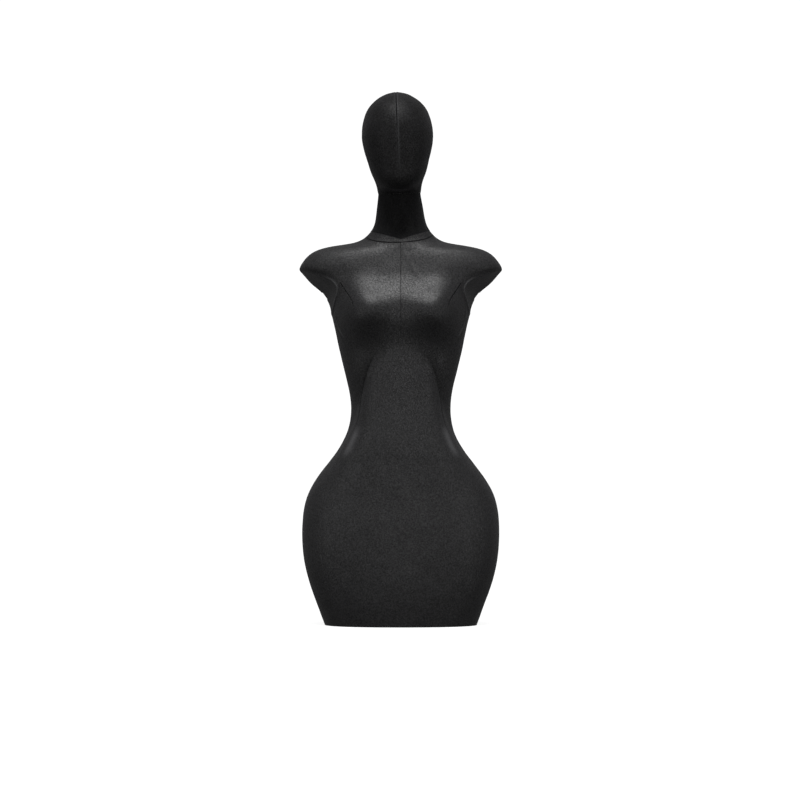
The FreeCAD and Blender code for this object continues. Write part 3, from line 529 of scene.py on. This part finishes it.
def suede(name, dark, light, shine_low, shine_high):
    """Brushed black stretch suede: a short nap that catches the light in specks and soft patches."""
    m = Maker(name)
    specks = m.noise(3.0, 3.0, rough=0.7)
    fibres = m.noise(0.55, 2.0)
    patches = m.noise(26, 3.0)
    nap = m.math("ADD", m.math("MULTIPLY", m.spread(specks, 0.37, 0.63), 0.72),
                 m.math("MULTIPLY", m.spread(patches, 0.3, 0.7), 0.28))
    # The marks paint light into the colour: a highlight on ridges, rims and hip shelves, and shade with less
    # shine along seams and creases.
    shade_and_turned_in, painted_highlight = m.mark("shade_and_turned_in"), m.mark("painted_highlight")
    body = m.blend(nap, dark, light)
    body = m.blend(m.math("MULTIPLY", painted_highlight, 0.7), body, PAINTED_HIGHLIGHT)
    m.colour(m.blend(shade_and_turned_in, body, SEAM_SHADE))
    shine = m.math("MULTIPLY", m.spread(specks, 0.3, 0.72, shine_low, shine_high),
                   m.math("SUBTRACT", 1.0, shade_and_turned_in))
    m.set(Roughness=m.spread(nap, 0, 1, 0.54, 0.45), Sheen_Weight=0.04, Sheen_Roughness=0.42,
          Sheen_Tint=(0.85, 0.83, 0.9), Specular_IOR_Level=shine)
    m.bump((specks, 0.55), (fibres, 0.16), (patches, 0.5))
    return m.material


def velvet():
    """The neck's pile velvet: darker than the suede, with a fine upright pile."""
    m = Maker("neck_velvet")
    pile = m.noise(0.6, 3.0, rough=0.6)
    brushed = m.noise(14, 3.0, (1, 1, 0.35))
    tufts = m.noise(2.8, 3.0, rough=0.7)
    shade = m.math("ADD", m.math("MULTIPLY", m.spread(tufts, 0.37, 0.63), 0.65),
                   m.math("MULTIPLY", m.spread(brushed, 0.3, 0.7), 0.35))
    m.colour(m.blend(shade, VELVET_DARK, VELVET_LIGHT))
    m.set(Roughness=0.9, Specular_IOR_Level=0.2, Sheen_Weight=0.2, Sheen_Roughness=0.35,
          Sheen_Tint=(0.8, 0.8, 0.85))
    m.bump((pile, 0.3), (brushed, 0.5))
    return m.material


def foam():
    """Cream foam with open cells; where the mark from soft_layer is set, black fabric is turned in over it.
    """
    m = Maker("padding_foam")
    cells = m.add("ShaderNodeTexVoronoi")
    cells.inputs["Scale"].default_value = 900
    m.link(m.place, cells.inputs["Vector"])
    shade_and_turned_in = m.mark("shade_and_turned_in")
    body = m.blend(m.spread(m.noise(30, 3), 0.3, 0.7), (0.74, 0.70, 0.60), (0.85, 0.82, 0.74))
    m.colour(m.blend(shade_and_turned_in, body, SUEDE_DARK))
    m.set(Roughness=0.95, Sheen_Weight=m.math("MULTIPLY", m.math("SUBTRACT", 1.0, shade_and_turned_in), 0.2))
    m.bump((cells.outputs["Distance"], 0.5), (m.noise(12, 2), 0.6))
    return m.material


def moulded():
    m = Maker("moulded_shell")
    m.colour(m.blend(m.spread(m.noise(45, 4), 0.3, 0.7), (0.56, 0.54, 0.50), (0.66, 0.64, 0.60)))
    m.set(Roughness=m.spread(m.noise(9, 3), 0.2, 0.8, 0.42, 0.62))
    m.bump((m.noise(5, 3), 0.15))
    return m.material


def plywood():
    m = Maker("plywood")
    grain = m.noise(7, 5, (1, 0.09, 1), 0.6)
    rings = m.noise(38, 3, (1, 0.16, 1))
    plies = m.wave(3.0, "Z", 0.4)
    upright = m.add("ShaderNodeSeparateXYZ")
    m.link(m.add("ShaderNodeNewGeometry").outputs["Normal"], upright.inputs[0])
    side = m.spread(m.math("ABSOLUTE", upright.outputs["Z"], 0), 0.6, 0.4)
    face = m.blend(m.spread(grain, 0.3, 0.7), (0.44, 0.29, 0.15), (0.68, 0.50, 0.30))
    face = m.blend(m.spread(rings, 0.52, 0.6), face, (0.52, 0.35, 0.19))
    edge = m.blend(plies, (0.30, 0.18, 0.09), (0.66, 0.48, 0.28))
    m.colour(m.blend(side, face, edge))
    m.set(Roughness=m.spread(grain, 0.2, 0.8, 0.5, 0.7))
    m.bump((grain, 0.2))
    return m.material


def turned_wood():
    m = Maker("peg_wood")
    grain = m.noise(5, 5, (1, 1, 0.08), 0.6)
    m.colour(m.blend(m.spread(grain, 0.3, 0.7), (0.52, 0.36, 0.20), (0.70, 0.54, 0.34)))
    m.set(Roughness=m.spread(grain, 0.2, 0.8, 0.38, 0.6))
    m.bump((grain, 0.15), (m.wave(0.9, "Z", 0.3), 0.03))
    return m.material


def metal(name, colour, bright, grain_mm):
    m = Maker(name)
    brushed = m.noise(grain_mm, 3)
    stain = m.noise(16, 3)
    body = m.blend(m.spread(stain, 0.3, 0.75), colour, tuple(0.8 * c for c in colour))
    m.colour(m.blend(m.edges(0.5), body, bright))
    m.set(Metallic=1.0, Roughness=m.spread(brushed, 0.25, 0.75, 0.28, 0.46))
    m.bump((brushed, 0.03))
    return m.material


def plastic(name, low, high, rough_low, rough_high):
    m = Maker(name)
    body = m.blend(m.spread(m.noise(10, 3), 0.3, 0.7), low, high)
    m.colour(m.blend(m.edges(0.4), body, tuple(min(1, 1.5 * c + 0.02) for c in high)))
    m.set(Roughness=m.spread(m.noise(1.6, 2), 0.3, 0.7, rough_low, rough_high))
    m.bump((m.noise(0.7, 2), 0.05))
    return m.material


def fibre():
    m = Maker("washer_fibre")
    strands = m.noise(1.2, 4, (1, 1, 3), 0.65)
    m.colour(m.blend(m.spread(strands, 0.3, 0.7), (0.16, 0.035, 0.022), (0.30, 0.085, 0.05)))
    m.set(Roughness=0.8)
    m.bump((strands, 0.1))
    return m.material


finish = {
    "cover_fabric": suede("cover_suede", SUEDE_DARK, SUEDE_LIGHT, 0.30, 0.85),
    "neck_velvet": velvet(),
    "padding_foam": foam(),
    "moulded_shell": moulded(),
    "plywood": plywood(),
    "peg_wood": turned_wood(),
    "plain_steel": plastic("plain_steel", (0.018, 0.018, 0.020), (0.032, 0.032, 0.035), 0.36, 0.52),
    "zinc_steel": metal("zinc_steel", (0.62, 0.63, 0.62), (0.85, 0.85, 0.84), 0.6),
    "black_plastic": plastic("black_plastic", (0.012, 0.012, 0.013), (0.022, 0.022, 0.024), 0.35, 0.5),
    "white_nylon": plastic("white_nylon", (0.70, 0.69, 0.66), (0.80, 0.79, 0.77), 0.35, 0.5),
    "washer_fibre": fibre(),
}
# The head covers get a darker, less shiny copy of the cover suede: painted shade.
shaded_head_suede = suede("shaded_head_suede", SHADED_HEAD_DARK, SHADED_HEAD_LIGHT, 0.08, 0.24)
slot_of = {part["node"]: part["material_slot"] for part in frame["record"]["subparts"]}
for name, node in nodes.items():
    node.data.materials.clear()
    node.data.materials.append(finish[slot_of[name]])

# ---------------------------------------------------------------------------------------------------
# The torso's cover
# ---------------------------------------------------------------------------------------------------
cover_trees = {node: under_tree([node]) for node in COVERS + ["neckband"]}
armhole_trees = {side: under_tree(["armhole_cover_" + side]) for side in SIDES}

centre_front = rising_line(edge_points("cover_front_left", cover_trees["cover_front_right"]))
centre_back = rising_line(edge_points("cover_back_left", cover_trees["cover_back_right"]))
collar = ring_line(np.vstack([edge_points(node, cover_trees["neckband"]) for node in COVERS
                              if "side" not in node]), 0, 1)
rims, front_seams, back_seams, ridges, darts, ribs, shelves = {}, {}, {}, {}, {}, {}, {}
for side, sign in SIDES.items():
    front_seams[side] = rising_line(edge_points("cover_front_" + side, cover_trees["cover_side_" + side]))
    back_seams[side] = rising_line(edge_points("cover_back_" + side, cover_trees["cover_side_" + side]))
    rims[side] = ring_line(np.vstack([edge_points("cover_%s_%s" % (part, side), armhole_trees[side])
                                      for part in ("front", "side", "back")]), 1, 2)
    darts[side] = front_line([(sign * 0.590, 0.853), (sign * 0.540, 0.833), (sign * 0.490, 0.814),
                              (sign * 0.455, 0.790)])
    ribs[side] = front_line([(sign * 0.02, 0.703), (sign * 0.13, 0.697), (sign * 0.235, 0.676),
                             (sign * 0.305, 0.648), (sign * 0.352, 0.612), (sign * 0.388, 0.565),
                             (sign * 0.405, 0.53), (sign * 0.44, 0.497), (sign * 0.505, 0.468),
                             (sign * 0.60, 0.432)])
    ridges[side] = front_line([(sign * 0.645, 0.786), (sign * 0.640, 0.772), (sign * 0.625, 0.755),
                               (sign * 0.595, 0.736), (sign * 0.545, 0.716)])
    shelves[side] = front_line([(sign * 0.405, 0.505), (sign * 0.452, 0.472), (sign * 0.506, 0.442),
                                (sign * 0.58, 0.412)])


def across_at(line, heights, sign):
    """How far out a line is at each height."""
    order = np.argsort(line.start[:, 2])
    return np.interp(heights, line.start[order, 2], line.start[order, 0] * sign)


def seam_relief(points):
    """The torso cover's relief in millimetres, and its marks: painted shade along seams, darts and creases
    and beside the rib arch, and painted highlight on ridges, armhole rims and hip shelves.
    """
    z = points[:, 2] / cover_top
    total, shade_and_turned_in, painted_highlight = np.zeros(len(points)), np.zeros(len(points)), np.zeros(len(points))

    # Centre front, centre back and collar seams: grooves in the relief, with painted shade in them.
    d, _ = centre_front.distance(points)
    shown = ramp(z, 0.66, 0.78)
    total += (0.1 + 0.8 * shown) * (0.15 * bump_of(d, 3.2 * MM) - 0.6 * bump_of(d, 0.9 * MM))
    shade_and_turned_in += 0.3 * shown * bump_of(d, 0.8 * MM)

    d, _ = centre_back.distance(points)
    total += 0.3 * bump_of(d, 3.2 * MM) - 0.7 * bump_of(d, 0.9 * MM)
    shade_and_turned_in += 0.5 * bump_of(d, 0.8 * MM)

    d, along = collar.distance(points)
    total += 0.25 * bump_of(d, 3.0 * MM) - 0.95 * bump_of(d, 1.0 * MM)
    shade_and_turned_in += 0.9 * bump_of(d, 1.1 * MM)
    pucker = np.cos(along / (8.5 * MM) * 2 * math.pi + 2.5 * np.sin(along / (31 * MM)))
    total += 0.22 * pucker * np.exp(-(d / (8 * MM))) * (1 - bump_of(d, 1.2 * MM))

    for side, sign in SIDES.items():
        mine = points[:, 0] * sign > -20 * MM
        near = points[mine]
        up = near[:, 2] / cover_top
        part, dark, light = np.zeros(len(near)), np.zeros(len(near)), np.zeros(len(near))

        d, _ = front_seams[side].distance(near)
        part -= 0.12 * bump_of(d, 1.2 * MM)

        # Princess ridge: a raised welt with a painted highlight along it.
        d, along = ridges[side].distance(near)
        share = along / ridges[side].length
        strength = ramp(share, 0.0, 0.08) * (1 - ramp(share, 0.8, 1.0))
        part += 1.5 * strength * bump_of(d, 2.6 * MM)
        light += 0.6 * strength * bump_of(d, 2.2 * MM)

        # Back seam: a groove with painted shade in it.
        d, _ = back_seams[side].distance(near)
        part += 0.25 * bump_of(d, 3.0 * MM) - 0.6 * bump_of(d, 0.9 * MM)
        dark += 0.4 * bump_of(d, 0.8 * MM)

        # Armhole rim: a sunk seam and a raised edge, with a painted highlight along the edge and along the
        # princess ridge at the front.
        d, _ = rims[side].distance(near)
        princess = (near[:, 1] < 0) * ramp(up, 0.755, 0.785) * (1 - ramp(up, 0.85, 0.875))
        part -= 0.85 * np.clip(1 - d / (2.0 * MM), 0, 1) ** 2
        part += 0.35 * bump_of(d - 3.6 * MM, 1.7 * MM) + princess * 1.2 * bump_of(d - 3.4 * MM, 2.2 * MM)
        light += 0.5 * bump_of(d - 2.2 * MM, 1.6 * MM) + 0.7 * princess * bump_of(d - 3.2 * MM, 2.0 * MM)

        # Dart: a groove with painted shade in it.
        d, along = darts[side].distance(near)
        strength = 1 - ramp(along / darts[side].length, 0.82, 1.0)
        part += strength * (0.4 * bump_of(d, 3.4 * MM) - 1.15 * bump_of(d, 0.95 * MM))
        dark += strength * bump_of(d, 1.1 * MM)

        # Rib arch: a crease with painted shade in it, and a broad painted shade on its outer side.
        d, along = ribs[side].distance(near)
        share = along / ribs[side].length
        strength = ramp(share, 0.12, 0.36) * (1 - ramp(share, 0.62, 0.80))
        part -= 0.75 * strength * bump_of(d, 2.8 * MM)
        dark += (0.25 + 0.5 * ramp(share, 0.5, 0.7)) * strength * bump_of(d, 2.0 * MM)
        outer = near[:, 0] * sign > across_at(ribs[side], near[:, 2], sign)
        dark += 0.38 * outer * strength * (1 - ramp(share, 0.45, 0.65)) * bump_of(d, 17 * MM)

        # Hip shelf: a soft rise with a painted highlight on it.
        d, along = shelves[side].distance(near)
        share = along / shelves[side].length
        glow = bump_of(d, 9.0 * MM) * ramp(share, 0, 0.35) * (1 - ramp(share, 0.65, 1))
        part += 1.0 * glow
        light += 0.9 * glow
        total[mine] += part
        shade_and_turned_in[mine] += dark
        painted_highlight[mine] += light
    return total, shade_and_turned_in, painted_highlight


def fold(points, line, height, width):
    """A soft fold along a line, fading at both ends."""
    d, along = line.distance(points)
    share = along / line.length
    return height * bump_of(d, width) * ramp(share, 0, 0.3) * (1 - ramp(share, 0.7, 1))


def cloth_relief(points):
    """Soft unevenness of the padding and faint pulls in the stretched fabric, in millimetres."""
    x, y, z = points.T
    broad = 0.55 * ripple(points, 58 * MM, 1) + 0.22 * ripple(points, 21 * MM, 2)
    pulls = points * np.array([1, 1, 0.28])
    for line, height, width in folds:
        broad += fold(points, line, height, width)
    return broad + 0.16 * ripple(pulls, 7 * MM, 3) * ramp(-y, 0, 0.05) * (1 - ramp(z, 0.3, 0.42))


folds = [(front_line(spots), height, width) for spots, height, width in (
    ([(0.02, 0.947), (0.075, 0.915), (0.15, 0.877), (0.24, 0.85)], 0.7, 5 * MM),
    ([(0.045, 0.947), (0.105, 0.915), (0.185, 0.877), (0.28, 0.85)], -0.5, 4 * MM),
    ([(0.03, 0.45), (0.035, 0.41), (0.025, 0.36), (0.03, 0.32)], -0.5, 7 * MM),
)]
all_lines = [centre_front, centre_back, collar]
for side in SIDES:
    all_lines += [front_seams[side], back_seams[side], rims[side], ridges[side], darts[side], ribs[side]]
for node in COVERS:
    sheet = Sheet(node, padding_tree, all_lines)
    for other in COVERS + ["neckband"]:
        if other != node:
            sheet.close_gap(cover_trees[other])
    relief, shade_and_turned_in, painted_highlight = seam_relief(sheet.points)
    relief = np.maximum(relief + cloth_relief(sheet.points), DEEPEST)
    sheet.raise_by(relief * MM, shade_and_turned_in, painted_highlight)
    sheet.build(node + "_suede", finish["cover_fabric"], "torso")

# ---------------------------------------------------------------------------------------------------
# Neckband, armholes, hem facing and padding
# ---------------------------------------------------------------------------------------------------
band = Sheet("neckband", padding_tree, [collar])
for other in COVERS:
    band.close_gap(cover_trees[other])
d, _ = collar.distance(band.points)
relief = cloth_relief(band.points) + 0.25 * bump_of(d, 3.0 * MM) - 0.95 * bump_of(d, 1.0 * MM)
# Collar seam: a groove with painted shade in it.
band.raise_by(np.maximum(relief, DEEPEST) * MM, 0.9 * bump_of(d, 1.1 * MM))
band.build("neckband_suede", finish["cover_fabric"], "torso")

for side in SIDES:
    node = "armhole_cover_" + side
    sheet = Sheet(node, under_tree(["armhole_board_" + side]), [rims[side]])
    d, _ = rims[side].distance(sheet.points)
    relief = 0.3 * ripple(sheet.points, 30 * MM, 4) - 0.6 * np.clip(1 - d / (1.6 * MM), 0, 1) ** 2
    sheet.raise_by(relief * MM)
    sheet.build(node + "_suede", finish["cover_fabric"], "torso")


def soft_layer(node, below, body, name, slot, size, depth, seed, turned_in=()):
    """A soft sheet hidden by another one: its outside sinks a little, unevenly, and never rises.

    The fabric above is turned in around the turned_in lines, so the sheet is dark there.
    """
    sheet = Sheet(node, under_tree(below), [], plain=size)
    sink = 0.55 + 0.45 * ripple(sheet.points, 18 * MM, seed)
    dark = np.zeros(len(sheet.points))
    for line in turned_in:
        d, _ = line.distance(sheet.points, reach=TURNED_IN[1])
        dark = np.maximum(dark, 1 - ramp(d, *TURNED_IN))
    sheet.raise_by(-depth * MM * sink, dark)
    sheet.build(name, finish[slot], body)


for half in ("front", "back"):
    soft_layer("padding_" + half, ["torso_shell_" + half], "torso", "padding_%s_foam" % half, "padding_foam",
               6 * MM, 0.3, 8, rims.values())
soft_layer("hem_facing", ["torso_shell_front", "torso_shell_back", "padding_front", "padding_back"], "torso",
           "hem_facing_suede", "cover_fabric", 4 * MM, 0.25, 9)
soft_layer("head_padding", ["head_shell_front", "head_shell_back"], "head", "head_padding_foam",
           "padding_foam", 5 * MM, 0.3, 10)

# ---------------------------------------------------------------------------------------------------
# Neck: velvet down to a V in front, and the suede edging that shows below the V
# ---------------------------------------------------------------------------------------------------
neck_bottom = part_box("neck_cover")[0][2]
V_TIP = Vector((0.0, 0.0, neck_bottom + 1.2 * MM))       # where the two edges of the V meet
V_RISE = {"left": 0.31, "right": 0.27}                   # how fast each edge climbs outwards


def cut_piece(piece, planes):
    """Keeps the part of a closed piece in front of every plane, and closes the cuts."""
    mesh = bmesh.new()
    mesh.from_mesh(piece.data)
    for place, direction in planes:
        everything = mesh.verts[:] + mesh.edges[:] + mesh.faces[:]
        cut = bmesh.ops.bisect_plane(mesh, geom=everything, plane_co=place, plane_no=direction,
                                     clear_inner=True, dist=1e-7)["geom_cut"]
        border = [edge for edge in cut if isinstance(edge, bmesh.types.BMEdge)]
        bmesh.ops.triangle_fill(mesh, use_beauty=True, edges=border)
    mesh.to_mesh(piece.data)
    mesh.free()


def v_plane(side):
    """The plane through one edge of the V, facing up."""
    return V_TIP, Vector((-SIDES[side] * V_RISE[side], 0, 1)).normalized()


neck = Sheet("neck_cover", under_tree(["neck_shell"]), [], plain=1.8 * MM)
shape = neck.points
neck.raise_by((0.45 + 0.25 * ripple(shape, 26 * MM, 5)) * MM)
turn_axis = np.array([joint["axis"] for joint in frame["record"]["behaviour"]["joints"]
                      if joint["name"] == "head_turn"][0])
height = shape @ turn_axis
top_rim = height > height.max() - 0.3 * MM
neck.points = neck.points + (top_rim * 0.45 * MM)[:, None] * turn_axis
velvet_piece = neck.build("neck_velvet", finish["neck_velvet"], "neck")
cut_piece(velvet_piece, [v_plane(side) for side in SIDES])
for side, sign in SIDES.items():
    neck.points = shape
    neck.raise_by(0.1 * ripple(shape, 26 * MM, 5) * MM)
    edging = neck.build("neck_edging_" + side, finish["cover_fabric"], "neck")
    place, direction = v_plane(side)
    cut_piece(edging, [(Vector((0, 0, 0)), Vector((sign, 0, 0))), (place, -direction)])

# ---------------------------------------------------------------------------------------------------
# Head covers
# ---------------------------------------------------------------------------------------------------
head_tree = under_tree(["head_padding"])
head_trees = {side: under_tree(["head_cover_" + side]) for side in SIDES}
points, _, sharp, _ = node_mesh("head_cover_left")
outside = distances(points, head_tree) > COVER_OUTSIDE
facing = distances(points, head_trees["right"]) < 0.5 * MM
head_seam = ring_line(points[sharp & outside & facing], 1, 2)
for side in SIDES:
    node = "head_cover_" + side
    sheet = Sheet(node, head_tree, [head_seam])
    sheet.close_gap(head_trees["left" if side == "right" else "right"])
    d, _ = head_seam.distance(sheet.points)
    up = sheet.points[:, 2]
    low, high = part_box(node)
    share = (up - low[2]) / (high[2] - low[2])
    front = sheet.points[:, 1] < 0
    shown = np.where(front, ramp(share, 0.1, 0.4), 1.0)
    open_seam = np.where(front, ramp(share, 0.55, 0.8), 1.0)
    ridge = shown * bump_of(d - 1.9 * MM, 1.9 * MM) * (1 if side == "left" else 0.4)
    relief = 0.6 * ridge - (0.2 + 0.7 * open_seam) * shown * bump_of(d, 0.95 * MM)
    relief += 0.5 * ripple(sheet.points, 40 * MM, 6) + 0.24 * ripple(sheet.points, 14 * MM, 7)
    # Painted shade in the seam groove, and a painted highlight on the ridge beside it.
    sheet.raise_by(relief * MM, (0.15 + 0.6 * open_seam) * shown * bump_of(d, 1.1 * MM), 0.4 * ridge)
    sheet.build(node + "_suede", shaded_head_suede, "head")

# ---------------------------------------------------------------------------------------------------
# Floor, light and camera
# ---------------------------------------------------------------------------------------------------
scene = bpy.context.scene
scene.view_settings.view_transform = "Standard"
FLOOR_GLOW = 0.92             # light given off by the floor, which shows as white to the camera
WORLD_BELOW, WORLD_ABOVE = 0.06, 0.22             # light on the object from straight below and above
AIM_UP = 0.4225               # height the camera looks at, as a share of the object's height
CAMERA_ACROSS, CAMERA_AWAY, CAMERA_LENS = -0.0015, 8.0, 179.5     # metres, metres, millimetres


def flat_floor():
    """A pale floor that curves up behind into a backdrop."""
    profile = [(-6, 0), (-3, 0), (0, 0), (3, 0)]
    profile += [(3 + 1.5 * math.sin(a), 1.5 - 1.5 * math.cos(a)) for a in np.linspace(0.15, math.pi / 2, 12)]
    profile += [(4.5, 5)]
    width = 7
    points = [(x, y, z) for x in (-width, width) for y, z in profile]
    count = len(profile)
    faces = [(k, k + 1, count + k + 1, count + k) for k in range(count - 1)]
    mesh = bpy.data.meshes.new("floor")
    mesh.from_pydata(points, [], faces)
    mesh.shade_smooth()
    floor = bpy.data.objects.new("floor", mesh)
    scene.collection.objects.link(floor)
    m = Maker("floor")
    m.colour(m.blend(m.spread(m.noise(900, 2), 0.3, 0.7), (0.25, 0.25, 0.25), (0.27, 0.27, 0.27)))
    m.set(Roughness=0.9, Specular_IOR_Level=0.0, Emission_Color=(1.0, 1.0, 1.0), Emission_Strength=FLOOR_GLOW)
    mesh.materials.append(m.material)
    floor.visible_diffuse = False
    floor.visible_glossy = False


flat_floor()


def lamp(name, place, target, size, power):
    """A rectangular lamp at a place, aimed at a target; metres and watts."""
    light = bpy.data.lights.new(name, "AREA")
    light.shape = "RECTANGLE"
    light.size, light.size_y = size
    light.energy = power
    lamp_object = bpy.data.objects.new(name, light)
    scene.collection.objects.link(lamp_object)
    lamp_object.location = place
    lamp_object.rotation_euler = (Vector(target) - Vector(place)).to_track_quat("-Z", "Y").to_euler()


lamp("key", (0.0, -2.0, 6.6), (0, 0, 0.6), (3.6, 1.2), 340)
lamp("low", (0.0, -5.0, 0.25), (0, 0, 0.0), (3.0, 0.6), 22)
lamp("fill_left", (-4.0, -2.4, 0.5), (0, 0, 0.35), (1.6, 2.0), 20)
lamp("fill_right", (4.0, -2.4, 0.5), (0, 0, 0.35), (1.6, 2.0), 18)


def studio_world():
    """A white surround for the camera; its light on the object is soft and weaker from below."""
    world = bpy.data.worlds.new("studio")
    scene.world = world
    world.use_nodes = True
    tree = world.node_tree
    background = tree.nodes["Background"]
    coordinate = tree.nodes.new("ShaderNodeTexCoord")
    split = tree.nodes.new("ShaderNodeSeparateXYZ")
    tree.links.new(coordinate.outputs["Generated"], split.inputs[0])
    height = tree.nodes.new("ShaderNodeMapRange")
    for key, value in (("From Min", -1), ("From Max", 1), ("To Min", WORLD_BELOW), ("To Max", WORLD_ABOVE)):
        height.inputs[key].default_value = value
    tree.links.new(split.outputs["Z"], height.inputs["Value"])
    path = tree.nodes.new("ShaderNodeLightPath")
    strength = tree.nodes.new("ShaderNodeMix")
    tree.links.new(path.outputs["Is Camera Ray"], strength.inputs["Factor"])
    tree.links.new(height.outputs["Result"], strength.inputs["A"])
    strength.inputs["B"].default_value = 1.0
    tree.links.new(strength.outputs["Result"], background.inputs["Strength"])
    background.inputs["Color"].default_value = (1, 1, 1, 1)


studio_world()

aim = Vector((0.0, 0.0, AIM_UP * cad_box[1][2]))
camera = bpy.data.cameras.new("camera")
camera.lens = CAMERA_LENS
camera.clip_end = 100
eye = bpy.data.objects.new("camera", camera)
scene.collection.objects.link(eye)
eye.location = aim + Vector((CAMERA_ACROSS, -CAMERA_AWAY, 0))
eye.rotation_euler = (math.radians(90), 0, 0)
scene.camera = eye
